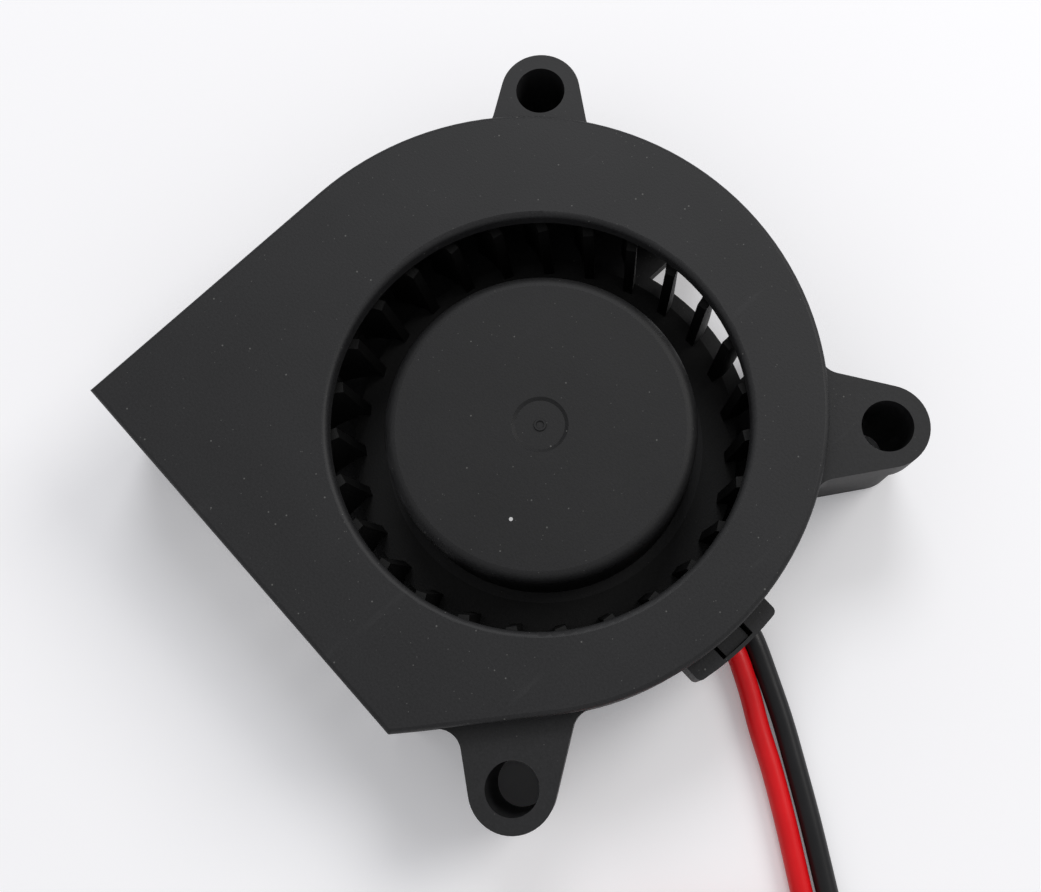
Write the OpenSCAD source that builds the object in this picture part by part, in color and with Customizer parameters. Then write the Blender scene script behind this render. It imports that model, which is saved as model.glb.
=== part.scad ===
// Centrifugal blower, 40 mm class, 12 mm thick, with two free lead wires.
// Frame: rotor axis is Z, the rear face is z = 0, the inlet looks up (+Z) and
// the air leaves through the outlet towards -Y.  Millimetres.

/* [Housing] */
// Radius of the round part of the scroll
scroll_r = 20; // [19:0.5:24]
// Scroll centre beside the rotor axis, along X
scroll_dx = -1.7; // [-2.5:0.1:-1]
// Scroll centre beside the rotor axis, along Y
scroll_dy = -0.15; // [-0.5:0.05:0.5]
// Height of the whole housing, cover included
body_h = 12; // [12:0.5:20]
// Wall thickness of the scroll
wall_t = 1.2; // [1:0.1:1.5]
// Thickness of the rear plate
floor_t = 1.2; // [1:0.1:1.6]
// Outside width of the outlet
outlet_w = 30; // [28:0.5:32]
// Outlet edge beyond the round part of the scroll
outlet_over = 0.1; // [0:0.1:3]

/* [Cover] */
// Thickness of the cover plate
cover_t = 1.2; // [1:0.1:1.6]
// Diameter of the inlet
inlet_d = 27.4; // [25:0.2:28]
// Rounding of the inlet lip
lip_r = 0.4; // [0.2:0.1:0.5]
// Depth of the locating rim under the cover
rim_h = 0.8; // [0.5:0.1:1]
// Thickness of the locating rim
rim_t = 0.7; // [0.5:0.1:0.8]

/* [Ears] */
// How far the screw holes lie inside the corners of the square round the scroll
ear_in = 3.4; // [3:0.1:3.8]
// Diameter of the screw holes
ear_hole_d = 3.4; // [3:0.1:3.8]
// Outer radius of an ear round its hole
ear_r = 2.75; // [2.5:0.05:3.2]
// Step from the ears down from the top of the scroll wall
ear_drop = 0.5; // [0.2:0.1:1]
// Thickness of the wide upper tier of an ear
ear_tier_t = 3; // [2:0.5:5]
// Inset of the lower tier of an ear
ear_tier_in = 0.35; // [0.1:0.05:0.5]
// Angle at which the flanks of an ear spread towards the scroll
ear_flare = 12; // [8:1:15]
// Radius of the hollow where an ear meets the scroll
ear_fillet = 1.5; // [0.8:0.1:2]

/* [Relief window] */
// Left end of the wall window opposite the outlet
win_x0 = -4.2; // [-5:0.2:-3]
// Right end of that window
win_x1 = 6; // [5:0.2:7]
// Radius at which the rear plate stops in the window
win_r = 15.1; // [14.6:0.1:15.5]
// Height of the wall left over the window
win_lintel = 1.6; // [1:0.2:3]

/* [Wire exit] */
// Centre of the latch pocket along Y
pocket_y = -0.75; // [-1.5:0.05:0]
// Length of the latch pocket along the wall
pocket_w = 6.6; // [6:0.2:8]
// How far the pocket stands out from the wall
pocket_out = 1.15; // [0.9:0.05:1.4]
// Rounding of the corners of the pocket
pocket_fillet = 0.4; // [0.2:0.1:0.6]
// Height of the latch pocket
pocket_h = 5.5; // [4:0.5:7]
// Width of the slot in the pocket
slot_w = 2.5; // [2.3:0.1:3]
// Thickness of the bar across the slot
bar_t = 0.25; // [0.2:0.05:0.4]
// Width of the snap arm
arm_w = 1.9; // [1.6:0.1:2.1]
// Length of the snap arm
arm_l = 2.6; // [2.2:0.1:3.2]
// Centre of the wire groove along Y
groove_y = 0.8; // [0.5:0.1:1]
// Skin left under the wire groove
groove_skin = 0.4; // [0.3:0.1:0.5]

/* [Impeller] */
// Number of blades
blade_n = 27; // [21:2:31]
// Outer radius of the blades
blade_r = 15.7; // [15.4:0.1:16]
// Inner radius of the blades
blade_in_r = 11; // [10.9:0.1:11.6]
// Thickness of a blade
blade_t = 0.7; // [0.5:0.1:0.9]
// Turn of a blade from its inner to its outer edge, in degrees
blade_sweep = 12; // [8:1:16]
// Radius of the hub
hub_r = 10.5; // [10.5:0.1:10.8]
// Depth of the hub below the face of the cover
hub_drop = 2.6; // [2.2:0.1:3]
// Thickness of the top of the hub
hub_top_t = 1.15; // [0.9:0.05:1.3]
// Rounding of the edge of the hub
hub_fillet = 0.8; // [0.4:0.1:1]
// Diameter of the shallow dish in the middle of the hub
dish_d = 3.6; // [3:0.2:5]
// Gap between the rear plate and the impeller
imp_gap = 1.1; // [1.1:0.1:1.4]
// Gap between the blades and the cover
blade_gap = 1.1; // [1.1:0.1:1.6]
// Thickness of the disc that carries the blades
disc_t = 0.7; // [0.6:0.1:0.8]
// Radius of the disc that carries the blades
disc_r = 14.4; // [13:0.2:14.6]

/* [Motor] */
// Wall thickness of the plastic hub round the yoke
hub_wall = 0.6; // [0.5:0.05:0.7]
// Thickness of the steel yoke
yoke_t = 0.6; // [0.4:0.05:0.7]
// Thickness of the ring magnet
magnet_t = 1.2; // [1:0.1:1.4]
// Air gap between the magnet and the stator
air_gap = 0.4; // [0.3:0.05:0.6]
// Gap between the windings and the yoke above them
yoke_gap = 0.55; // [0.4:0.05:0.8]
// Number of plates in the stator stack
plate_n = 4; // [3:1:5]
// Thickness of a winding insulator
insul_h = 0.9; // [0.8:0.05:1]
// Diameter of the shaft
shaft_d = 2; // [1.5:0.1:2.2]
// Radial clearance of the sleeve bearing
bearing_c = 0.02; // [0.01:0.01:0.05]
// Outer radius of the bearing
bearing_r = 2.2; // [2:0.05:2.3]
// Wall of the bearing tube
tube_t = 0.7; // [0.5:0.05:0.9]
// Thickness of the circuit board
board_t = 0.8; // [0.6:0.1:0.8]
// Radius of the circuit board
board_r = 9; // [8.6:0.1:9.2]

/* [Leads] */
// Outer diameter of a lead wire
lead_d = 1.5; // [1.3:0.1:1.5]
// Width of the connector
plug_w = 7.4; // [7:0.2:8]
// Height of the connector
plug_h = 5.8; // [5.4:0.2:6.4]
// Length of the connector
plug_l = 9.8; // [9:0.2:12]
// Distance between the two contacts
plug_pitch = 2.5; // [2.5:0.04:2.54]

/* [Hidden] */
$fn = 96;
eps = 0.01;
BLACK = [0.13, 0.13, 0.14];

// ---- housing --------------------------------------------------------------
scroll_c = [scroll_dx, scroll_dy];
left_x = scroll_dx - scroll_r;
outlet_y = scroll_dy - scroll_r - outlet_over;
wall_top = body_h - cover_t;
ear_top = wall_top - ear_drop;
tongue = [left_x + outlet_w, outlet_y] - scroll_c;
// direction in which the side wall beside the outlet touches the round part
tongue_a = atan2(tongue[1], tongue[0]) + acos(scroll_r / norm(tongue));
// screw holes: three corners of a square, the outlet corner is the fourth
ear_pitch = 2 * (scroll_r - ear_in);       // distance between neighbouring screw holes
hole_c = scroll_c + [0.92, -0.22];
hole_at = [for (s = [[-1, 1], [1, 1], [1, -1]]) hole_c + ear_pitch / 2 * s];
tuck = 0.01;                               // a straight wall starts this far inside the round
hollow_n = 10;

// ---- wire exit ------------------------------------------------------------
wall_x = scroll_dx + scroll_r;            // outer face of the wall at the exit
groove_w = 2 * lead_d + 0.1;
groove_z = groove_skin;
lead_z = groove_z + lead_d / 2;
exit_h = lead_d + 0.2;
arm_t = 0.7;
arm_x = wall_x - wall_t + 0.15;           // inner face of the snap arm
barb_out = wall_x + pocket_out - bar_t - 0.05;
barb_drop = 0.9;
slot_z = wall_top - arm_l - 0.5;          // floor of the slot

// ---- rotor ----------------------------------------------------------------
imp_z0 = floor_t + imp_gap;
blade_z = [imp_z0 + 0.2, wall_top - blade_gap];
hub_z = body_h - hub_drop;
hub_in_z = hub_z - hub_top_t;
yoke_r = hub_r - hub_wall;
magnet_r = yoke_r - yoke_t;
magnet_in = magnet_r - magnet_t;
stator_r = magnet_in - air_gap;
rotor_lift = 0.3;                          // yoke above the lower rim of the hub
magnet_z = [imp_z0 + 0.9, hub_in_z - yoke_t];

// ---- motor ----------------------------------------------------------------
shaft_r = shaft_d / 2;
tube_r = bearing_r + tube_t;
tube_z = 0.6;
tube_top = hub_in_z - 1.35;
pad_t = 0.35;
pad_top = tube_z + pad_t;
shaft_z = [pad_top + 0.03, hub_z - 0.45];
ring_z = pad_top + 0.27;
ring_t = 0.2;
bearing_z = [ring_z + ring_t + 0.15, tube_top - 0.5];
board_z = floor_t + 0.3;
board_top = board_z + board_t;
insul_z = board_top + 1;
core_z = insul_z + insul_h;
stack_h = hub_in_z - yoke_t - yoke_gap - insul_h - core_z;
pole_n = 4;
pole_w = 2.6;
shoe_t = 0.9;
core_hub_r = tube_r + 1;
guard_t = 0.5;                             // raised end of a bobbin arm
plate_t = 0.3;                             // plastic between the stack and a coil
arm_side = 0.15;                           // plastic beside an arm of the stack
coil_gap = 0.05;                           // between a coil and its bobbin
pin_r = 0.25;
pin_at = stator_r - shoe_t - guard_t / 2;
pin_out = 0.15;                            // pins below the circuit board
ic_in = 2.4;                               // parts from the edge of the board
chip_in = 2;

// ---- leads ----------------------------------------------------------------
exit_red = [wall_x, groove_y - lead_d / 2 - 0.03, lead_z];
exit_black = [wall_x, groove_y + lead_d / 2 + 0.03, lead_z];
red_path = [[20.2, -0.4, 1.1], [22.2, -1.4, 0.9], [24.3, -2.6, 0.8], [27, -4, 0.8],
    [30, -5.8, 0.8], [33.7, -8.1, 0.8], [36.5, -9.8, 0.8], [39, -11.2, 0.8],
    [41.2, -12.5, 0.8]];
black_path = [[20.3, 1.2, 1.1], [22.3, 0.3, 0.9], [25, -1, 0.8], [27.8, -2.6, 0.8],
    [31, -4.5, 0.8], [34.5, -6.6, 0.8], [37.4, -8.4, 0.8], [40, -9.9, 0.8],
    [42, -11.1, 0.8]];
coil_c = [38.9, -22.8];
coil_in = 4.7;
coil_out = 12.3;
coil_h = 2 * lead_d;
plug_at = [49.6, -34.5];                   // middle of the rear face of the connector
red_tail = [[50.3, -25.6, 2.3], [50.9, -28.5, 2.6], [50.9, -31.5, 2.9]];
black_tail = [[48.7, -25.6, 2.3], [48.4, -28.5, 2.6], [48.3, -31.5, 2.9]];

// ============================== outlines ====================================
// Outline of the scroll, moved inwards by i; the outlet edge moves by k.
module scroll_2d(i = 0, k = 0) {
    r = scroll_r - i;
    n = [cos(tongue_a), sin(tongue_a)];
    y = outlet_y - scroll_dy + k;
    x = (r - n[1] * y) / n[0];
    translate(scroll_c) {
        circle(r = r, $fn = 180);
        polygon([[-r, 0], [-r, y], [x, y], (r - tuck) * n, [0, 0]]);
    }
}

// Point where the hollow beside an ear has its centre.  t: point on the flank,
// n: normal of the flank away from the ear, d: direction of the flank inwards.
function hollow_on_round(t, n, d, f) =
    let (q = t + f * n - scroll_c, b = q * d, c = q * q - pow(scroll_r + f, 2))
    t + f * n + (-b - sqrt(b * b - c)) * d;
function hollow_on_flat(t, n, d, f) =
    let (m = [cos(tongue_a), sin(tongue_a)], q = t + f * n - scroll_c)
    t + f * n + ((scroll_r + f - q * m) / (d * m)) * d;

// Points of one flank of an ear, from its round end to just inside the scroll.
// s: 1 or -1 for the side, flat: true where it meets the straight side wall.
function flank(at, dir, s, flat, inset) =
    let (f = ear_fillet, a = dir + s * (90 - ear_flare), n = [cos(a), sin(a)],
         d = [cos(dir + 180 - s * ear_flare), sin(dir + 180 - s * ear_flare)],
         t = at + (ear_r - inset) * n,
         c = flat ? hollow_on_flat(t, n, d, f) : hollow_on_round(t, n, d, f),
         m = flat ? [cos(tongue_a), sin(tongue_a)] : (c - scroll_c) / norm(c - scroll_c),
         from = a + 180, turn = (atan2(-m[1], -m[0]) - from + 900) % 360 - 180)
    concat([t], [for (i = [0:hollow_n - 1]) let (b = from + turn * i / hollow_n)
        c + f * [cos(b), sin(b)]], [c - (f + 1) * m]);

module ear_2d(at, dir, flat, inset = 0) {
    translate(at) circle(r = ear_r - inset, $fn = 64);
    left = flank(at, dir, 1, false, inset);
    right = flank(at, dir, -1, flat, inset);
    polygon(concat(left, [for (i = [len(right) - 1:-1:0]) right[i]]));
}

// ============================== housing =====================================
module ears(inset, z, h) {
    dirs = [135, 45, -45];
    translate([0, 0, z]) linear_extrude(h)
        for (i = [0:2]) ear_2d(hole_at[i], dirs[i], i == 2, inset);
}

// pocket on the wall, its outer face concentric with the scroll
module pocket_2d() {
    r = scroll_r + pocket_out;
    f = pocket_fillet;
    y = pocket_y - scroll_dy;
    c = [for (k = [-1, 1]) let (e = y + k * (pocket_w / 2 - f)) [sqrt(pow(r - f, 2) - e * e), e]];
    translate(scroll_c) {
        intersection() {
            circle(r = r, $fn = 180);
            polygon([[0, 0], 2 * c[0], 2 * c[1]]);
        }
        for (p = c) translate(p) circle(r = f, $fn = 32);
        polygon([[scroll_r - wall_t, y - pocket_w / 2], [c[0][0], y - pocket_w / 2], c[0], c[1],
            [c[1][0], y + pocket_w / 2], [scroll_r - wall_t, y + pocket_w / 2]]);
    }
}

module wire_pocket() {
    translate([0, 0, ear_top - pocket_h]) linear_extrude(pocket_h) difference() {
        pocket_2d();
        translate(scroll_c) circle(r = scroll_r - wall_t / 2, $fn = 180);
    }
}

// slot that takes the snap arm and its barb and leaves a thin bar outside
module latch_slot() {
    translate([0, 0, slot_z]) linear_extrude(body_h) intersection() {
        translate(scroll_c) circle(r = scroll_r + pocket_out - bar_t, $fn = 180);
        translate([wall_x - 2 * wall_t, pocket_y - slot_w / 2])
            square([2 * wall_t + pocket_out, slot_w]);
    }
}

module frame() {
    color(BLACK) difference() {
        union() {
            linear_extrude(wall_top) scroll_2d();
            ears(ear_tier_in, 0, ear_top - ear_tier_t);
            ears(0, ear_top - ear_tier_t, ear_tier_t);
            wire_pocket();
        }
        // air space, open at the outlet
        difference() {
            translate([0, 0, floor_t]) linear_extrude(body_h)
                scroll_2d(wall_t, -2 * wall_t);
            motor_seat();
        }
        for (p = hole_at) translate([p[0], p[1], -1]) cylinder(h = body_h, d = ear_hole_d);
        relief_window();
        // groove for the two leads, from the motor out under the pocket
        translate([lead_x0, groove_y - groove_w / 2, groove_z])
            cube([wall_x, groove_w, exit_h]);
        latch_slot();
        // end of the bearing tube
        translate([0, 0, tube_z]) cylinder(h = body_h, r = tube_r);
    }
}

// raised ring round the bearing tube and the rests of the circuit board
module motor_seat() {
    cylinder(h = board_z, r = tube_r + 0.9);
    for (a = [45:90:359]) rotate(a) translate([board_r - 2, 0, 0])
        cylinder(h = board_z, r = 0.8);
    // low ribs that keep the leads in their groove
    for (s = [-1, 1]) translate([board_r + 0.6, groove_y + s * (groove_w / 2 + 0.3) - 0.3, 0])
        cube([blade_r - board_r - 2, 0.6, imp_z0 - 0.4]);
}

module relief_window() {
    difference() {
        translate([win_x0, 0, -1]) cube([win_x1 - win_x0, 2 * scroll_r, wall_top - win_lintel + 1]);
        translate([0, 0, -2]) cylinder(h = body_h, r = win_r);
    }
}

module top_cover() {
    color(BLACK) {
        difference() {
            union() {
                translate([0, 0, wall_top]) linear_extrude(cover_t) scroll_2d();
                translate([0, 0, wall_top - rim_h]) linear_extrude(rim_h + eps) locating_rim_2d();
            }
            translate([0, 0, wall_top]) inlet_cut();
        }
        snap_arm();
    }
}

// rim inside the scroll wall, left out at the outlet and beside the snap arm
module locating_rim_2d() {
    difference() {
        scroll_2d(wall_t + 0.1);
        scroll_2d(wall_t + 0.1 + rim_t, -4 * wall_t);
        translate([left_x, outlet_y - 1]) square([2 * scroll_r, scroll_r / 2]);
        translate([scroll_r / 2, pocket_y - slot_w]) square([scroll_r, 2 * slot_w]);
    }
}

// the inlet with a rounded lip at its upper edge
module inlet_cut() {
    r = inlet_d / 2;
    translate([0, 0, -1]) cylinder(h = cover_t + 2, r = r);
    rotate_extrude() difference() {
        translate([r - eps, cover_t - lip_r]) square([lip_r + eps, lip_r + 1]);
        translate([r + lip_r, cover_t - lip_r]) circle(r = lip_r, $fn = 48);
    }
}

module snap_arm() {
    translate([0, pocket_y + arm_w / 2, 0]) rotate([90, 0, 0]) linear_extrude(arm_w)
        polygon([[arm_x, wall_top + eps], [arm_x, wall_top - arm_l],
            [arm_x + arm_t, wall_top - arm_l], [barb_out, wall_top - arm_l + barb_out - arm_x - arm_t],
            [barb_out, wall_top - barb_drop], [arm_x + arm_t, wall_top - barb_drop],
            [arm_x + arm_t, wall_top + eps]]);
}

// ============================== motor, fixed side ===========================
module bearing_tube() {
    color([0.78, 0.63, 0.32]) translate([0, 0, tube_z]) difference() {
        cylinder(h = tube_top - tube_z, r = tube_r);
        translate([0, 0, pad_t]) cylinder(h = body_h, r = bearing_r);
        translate([0, 0, -1]) cylinder(h = 2, r = bearing_r);
    }
}

module sleeve_bearing() {
    color([0.62, 0.5, 0.36]) translate([0, 0, bearing_z[0]]) difference() {
        cylinder(h = bearing_z[1] - bearing_z[0], r = bearing_r);
        translate([0, 0, -1]) cylinder(h = body_h, r = shaft_r + bearing_c);
    }
}

module thrust_pad() {
    color([0.9, 0.9, 0.85]) translate([0, 0, tube_z]) cylinder(h = pad_t, r = bearing_r);
}

// four salient poles with curved shoes, stacked from plates
module core_plate_2d() {
    difference() {
        union() {
            circle(r = core_hub_r, $fn = 64);
            for (a = [0:360 / pole_n:359]) rotate(a)
                translate([0, -pole_w / 2]) square([stator_r - shoe_t / 2, pole_w]);
            difference() {
                circle(r = stator_r, $fn = 120);
                circle(r = stator_r - shoe_t, $fn = 120);
                for (a = [45:360 / pole_n:359]) rotate(a)
                    translate([0, -0.9]) square([2 * stator_r, 1.8]);
            }
        }
        circle(r = tube_r, $fn = 96);
    }
}

module stator_core() {
    joint_h = 0.04;
    color([0.55, 0.56, 0.58]) translate([0, 0, core_z]) {
        linear_extrude(stack_h) core_body_2d();
        for (i = [0:plate_n - 1]) translate([0, 0, i * stack_h / plate_n + joint_h])
            linear_extrude(stack_h / plate_n - 2 * joint_h) core_plate_2d();
    }
}

// the stack a hair smaller, so that each plate shows as a thin line
module core_body_2d() {
    difference() {
        union() {
            circle(r = core_hub_r, $fn = 64);
            for (a = [0:360 / pole_n:359]) rotate(a)
                translate([0, -pole_w / 2]) square([stator_r - shoe_t / 2, pole_w]);
            difference() {
                circle(r = stator_r - 0.05, $fn = 120);
                circle(r = stator_r - shoe_t, $fn = 120);
                for (a = [45:360 / pole_n:359]) rotate(a)
                    translate([0, -0.95]) square([2 * stator_r, 1.9]);
            }
        }
        circle(r = tube_r, $fn = 96);
    }
}

// plastic bobbin half: a hub, four arms and a raised guard at each arm's end
module insulator(z, up) {
    guard_side = 0.7;
    color([0.93, 0.92, 0.88]) translate([0, 0, z]) mirror([0, 0, up ? 0 : 1])
        difference() {
            union() {
                cylinder(h = insul_h, r = core_hub_r);
                for (a = [0:360 / pole_n:359]) rotate(a) {
                    translate([0, -pole_w / 2 - arm_side, 0])
                        cube([stator_r - shoe_t, pole_w + 2 * arm_side, plate_t]);
                    translate([stator_r - shoe_t - guard_t, -pole_w / 2 - guard_side, 0])
                        cube([guard_t, pole_w + 2 * guard_side, insul_h]);
                }
            }
            translate([0, 0, -1]) cylinder(h = body_h, r = tube_r);
        }
}

module insulator_lower() { insulator(core_z, false); }
module insulator_upper() { insulator(core_z + stack_h, true); }

// one oval coil round each pole arm
module windings() {
    wrap = insul_h - plate_t - coil_gap;
    x0 = core_hub_r + 2 * coil_gap;
    x1 = stator_r - shoe_t - guard_t - 2 * coil_gap;
    w = pole_w + 2 * (arm_side + coil_gap);
    h = stack_h + 2 * (plate_t + coil_gap);
    color([0.72, 0.38, 0.16]) for (a = [0:360 / pole_n:359]) rotate(a)
        translate([x0, 0, core_z + stack_h / 2]) rotate([90, 0, 90])
            linear_extrude(x1 - x0) difference() {
                square([w + 2 * wrap, h + 2 * wrap], center = true);
                square([w, h], center = true);
            }
}

// pins that carry the coil ends down through the board
module coil_pins() {
    color([0.8, 0.78, 0.7]) for (a = pin_angles) rotate(a)
        translate([pin_at, 0, board_z - pin_out])
            cylinder(h = insul_z + pin_out - board_z, r = pin_r, $fn = 24);
}
pin_angles = [90, 180, 270];

module circuit_board() {
    color([0.1, 0.36, 0.2]) translate([0, 0, board_z]) difference() {
        cylinder(h = board_t, r = board_r);
        translate([0, 0, -1]) cylinder(h = board_t + 2, r = tube_r + 0.25);
        for (a = pin_angles) rotate(a) translate([pin_at, 0, -1])
            cylinder(h = board_t + 2, r = pin_r + 0.05, $fn = 24);
        // notch where the leads come in
        translate([lead_x0 + 0.9, groove_y - groove_w / 2, -1]) cube([board_r, groove_w, board_t + 2]);
    }
}
lead_x0 = 5.6;

module driver_ic() {
    size = [1.4, 2.9, 0.85];
    leg = [0.5, 0.35, 0.12];
    leg_pitch = 0.95;
    rotate(45) translate([board_r - ic_in, 0, board_top]) {
        color([0.15, 0.15, 0.16]) translate([-size[0] / 2, -size[1] / 2, 0]) cube(size);
        color([0.8, 0.8, 0.82]) for (k = [-1:1], s = [-1, 1])
            translate([s * (size[0] + leg[0]) / 2 - leg[0] / 2, k * leg_pitch - leg[1] / 2, 0])
                cube(leg);
    }
}

module chip(length, width, height, cap) {
    color([0.62, 0.5, 0.36]) translate([-length / 2 + cap, -width / 2, 0])
        cube([length - 2 * cap, width, height]);
    color([0.8, 0.8, 0.82]) for (s = [-1, 1])
        translate([s * (length - cap) / 2 - cap / 2, -width / 2, 0]) cube([cap, width, height]);
}

module chip_capacitor() {
    rotate(135) translate([board_r - chip_in, 0, board_top]) rotate(90)
        chip(length = 2, width = 1.25, height = 0.8, cap = 0.4);
}

module chip_resistor() {
    rotate(225) translate([board_r - chip_in, 0, board_top]) rotate(90)
        chip(length = 1.6, width = 0.8, height = 0.45, cap = 0.3);
}

// bared wire ends, each in a bead of solder on the underside of the board
module solder_joints() {
    bare_r = 0.3;
    color([0.8, 0.8, 0.82]) for (y = [exit_red[1], exit_black[1]]) {
        translate([lead_x0 + 0.3, y, lead_z]) rotate([0, 90, 0])
            cylinder(h = 0.7, r = bare_r, $fn = 24);
        translate([lead_x0 + 0.45, y, lead_z]) cylinder(h = board_z - lead_z, r = 0.4, $fn = 32);
    }
}

module inner_lead(y) {
    translate([lead_x0 + 1, y, lead_z]) rotate([0, 90, 0])
        cylinder(h = wall_x - lead_x0 - 1, d = lead_d, $fn = 48);
}

module inner_lead_red() { color([0.8, 0.05, 0.06]) inner_lead(exit_red[1]); }
module inner_lead_black() { color([0.09, 0.09, 0.1]) inner_lead(exit_black[1]); }

// ============================== rotor =======================================
// Middle line of a blade: it sweeps forward as it goes out.
function blade_mid(u) =
    let (r = blade_in_r + u * (blade_r - blade_in_r),
         a = blade_sweep * (0.62 * u + 0.38 * u * u))
    r * [cos(a), sin(a)];
function blade_side(u, s) =
    let (d = blade_mid(u + eps) - blade_mid(u - eps), n = [-d[1], d[0]] / norm(d))
    blade_mid(u) + s * blade_t / 2 * n;

module blade_2d() {
    steps = 5;
    polygon(concat([for (i = [0:steps]) blade_side(i / steps, 1)],
        [for (i = [steps:-1:0]) blade_side(i / steps, -1)]));
}

// half section of the hub: cup with a rounded edge, disc and shaft boss
module hub_section_2d() {
    boss_r = shaft_r + 1.2;
    difference() {
        union() {
            translate([0, imp_z0]) square([hub_r - hub_fillet, hub_z - imp_z0]);
            translate([0, imp_z0]) square([hub_r, hub_z - hub_fillet - imp_z0]);
            translate([hub_r - hub_fillet, hub_z - hub_fillet]) circle(r = hub_fillet, $fn = 48);
            translate([0, imp_z0]) square([disc_r, disc_t]);
        }
        translate([-1, imp_z0 - 1]) square([yoke_r + 1, hub_in_z - imp_z0 + 1]);
        // shallow dish with a small gate ring in its middle
        translate([0, hub_z - 0.15]) difference() {
            square([dish_d / 2, 1]);
            translate([0.25, -1]) square([0.15, 1.1]);
        }
        translate([-1, hub_in_z - 1]) square([shaft_r + 1, shaft_z[1] - hub_in_z + 1]);
    }
    translate([shaft_r, hub_in_z - 1.1]) square([boss_r - shaft_r, 1.1 + eps]);
}

module impeller() {
    color(BLACK) {
        rotate_extrude($fn = 180) intersection() {
            hub_section_2d();
            square([2 * disc_r, body_h]);
        }
        for (i = [0:blade_n - 1]) rotate(i * 360 / blade_n)
            translate([0, 0, blade_z[0]]) linear_extrude(blade_z[1] - blade_z[0]) blade_2d();
    }
}

module yoke() {
    color([0.62, 0.63, 0.65]) rotate_extrude() difference() {
        translate([shaft_r + 1.5, imp_z0 + rotor_lift])
            square([yoke_r - shaft_r - 1.5, hub_in_z - imp_z0 - rotor_lift]);
        translate([0, imp_z0]) square([magnet_r, hub_in_z - yoke_t - imp_z0]);
    }
}

module ring_magnet() {
    color([0.22, 0.21, 0.21]) translate([0, 0, magnet_z[0]]) difference() {
        cylinder(h = magnet_z[1] - magnet_z[0], r = magnet_r);
        translate([0, 0, -1]) cylinder(h = body_h, r = magnet_in);
    }
}

module shaft() {
    tip = 0.3;
    color([0.82, 0.83, 0.85]) rotate_extrude($fn = 64) difference() {
        polygon([[0, shaft_z[0]], [shaft_r - tip, shaft_z[0]], [shaft_r, shaft_z[0] + tip / 2],
            [shaft_r, shaft_z[1]], [0, shaft_z[1]]]);
        translate([shaft_r * 0.75, ring_z]) square([shaft_r, ring_t]);
    }
}

// split ring in the groove of the shaft
module retaining_ring() {
    color([0.2, 0.2, 0.22]) translate([0, 0, ring_z]) difference() {
        cylinder(h = ring_t, r = bearing_r - 0.45, $fn = 64);
        translate([0, 0, -1]) cylinder(h = 3, r = shaft_r * 0.75, $fn = 64);
        translate([0, -0.25, -1]) cube([bearing_r, 0.5, 3]);
    }
}

module oil_ring() {
    color([0.75, 0.72, 0.6]) translate([0, 0, bearing_z[1] + 0.1]) difference() {
        cylinder(h = 0.25, r = bearing_r - 0.35, $fn = 64);
        translate([0, 0, -1]) cylinder(h = 3, r = shaft_r, $fn = 64);
    }
}

// ============================== leads =======================================
// Tube of eight sides swept along a path of points.
function smooth(p, n = 2) = [for (i = [0:len(p) - 2], k = [0:n - 1])
    let (a = p[max(i - 1, 0)], b = p[i], c = p[i + 1], d = p[min(i + 2, len(p) - 1)], u = k / n)
    0.5 * (2 * b + (c - a) * u + (2 * a - 5 * b + 4 * c - d) * u * u
        + (3 * b - a - 3 * c + d) * u * u * u)];
function along(p, i) = let (d = p[min(i + 1, len(p) - 1)] - p[max(i - 1, 0)]) d / norm(d);
function ring_at(p, i, first, last) =
    let (t = i == 0 ? first : i == len(p) - 1 ? last : along(p, i),
         x = cross([0, 0, 1], t) / norm(cross([0, 0, 1], t)), y = cross(t, x))
    [for (k = [0:7]) p[i] + lead_d / 2 * (cos(k * 45) * x + sin(k * 45) * y)];

module tube_along(points, first, last) {
    p = concat(smooth(points), [points[len(points) - 1]]);
    n = len(p);
    polyhedron(
        points = [for (i = [0:n - 1]) each ring_at(p, i, first, last)],
        faces = concat([[for (k = [0:7]) k]],
            [for (i = [0:n - 2], k = [0:7]) let (a = 8 * i, j = (k + 1) % 8)
                [a + k, a + 8 + k, a + 8 + j, a + j]],
            [[for (k = [7:-1:0]) 8 * (n - 1) + k]]),
        convexity = 4);
}

module lead(start, path, tail, plug_x) {
    down = [0, -1, 0];
    end_dir = path[len(path) - 1] - path[len(path) - 2];
    tube_along(concat([start], path), [1, 0, 0], end_dir / norm(end_dir));
    tube_along(concat(tail, [[plug_x, plug_at[1], plug_h / 2]]), down, down);
}

module lead_red() {
    color([0.8, 0.05, 0.06]) lead(exit_red, red_path, red_tail, plug_at[0] + plug_pitch / 2);
}
module lead_black() {
    color([0.09, 0.09, 0.1]) lead(exit_black, black_path, black_tail, plug_at[0] - plug_pitch / 2);
}

// the rest of both leads, wound together into a round coil
module lead_coil() {
    r = lead_d / 2;
    color([0.35, 0.05, 0.06]) translate([coil_c[0], coil_c[1], 0]) rotate_extrude() {
        translate([coil_in + r, 0]) square([coil_out - coil_in - 2 * r, coil_h]);
        for (x = [coil_in + r, coil_out - r], y = [r, coil_h - r])
            translate([x, y]) circle(r = r, $fn = 32);
        translate([coil_in, r]) square([coil_out - coil_in, coil_h - 2 * r]);
    }
}

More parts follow.
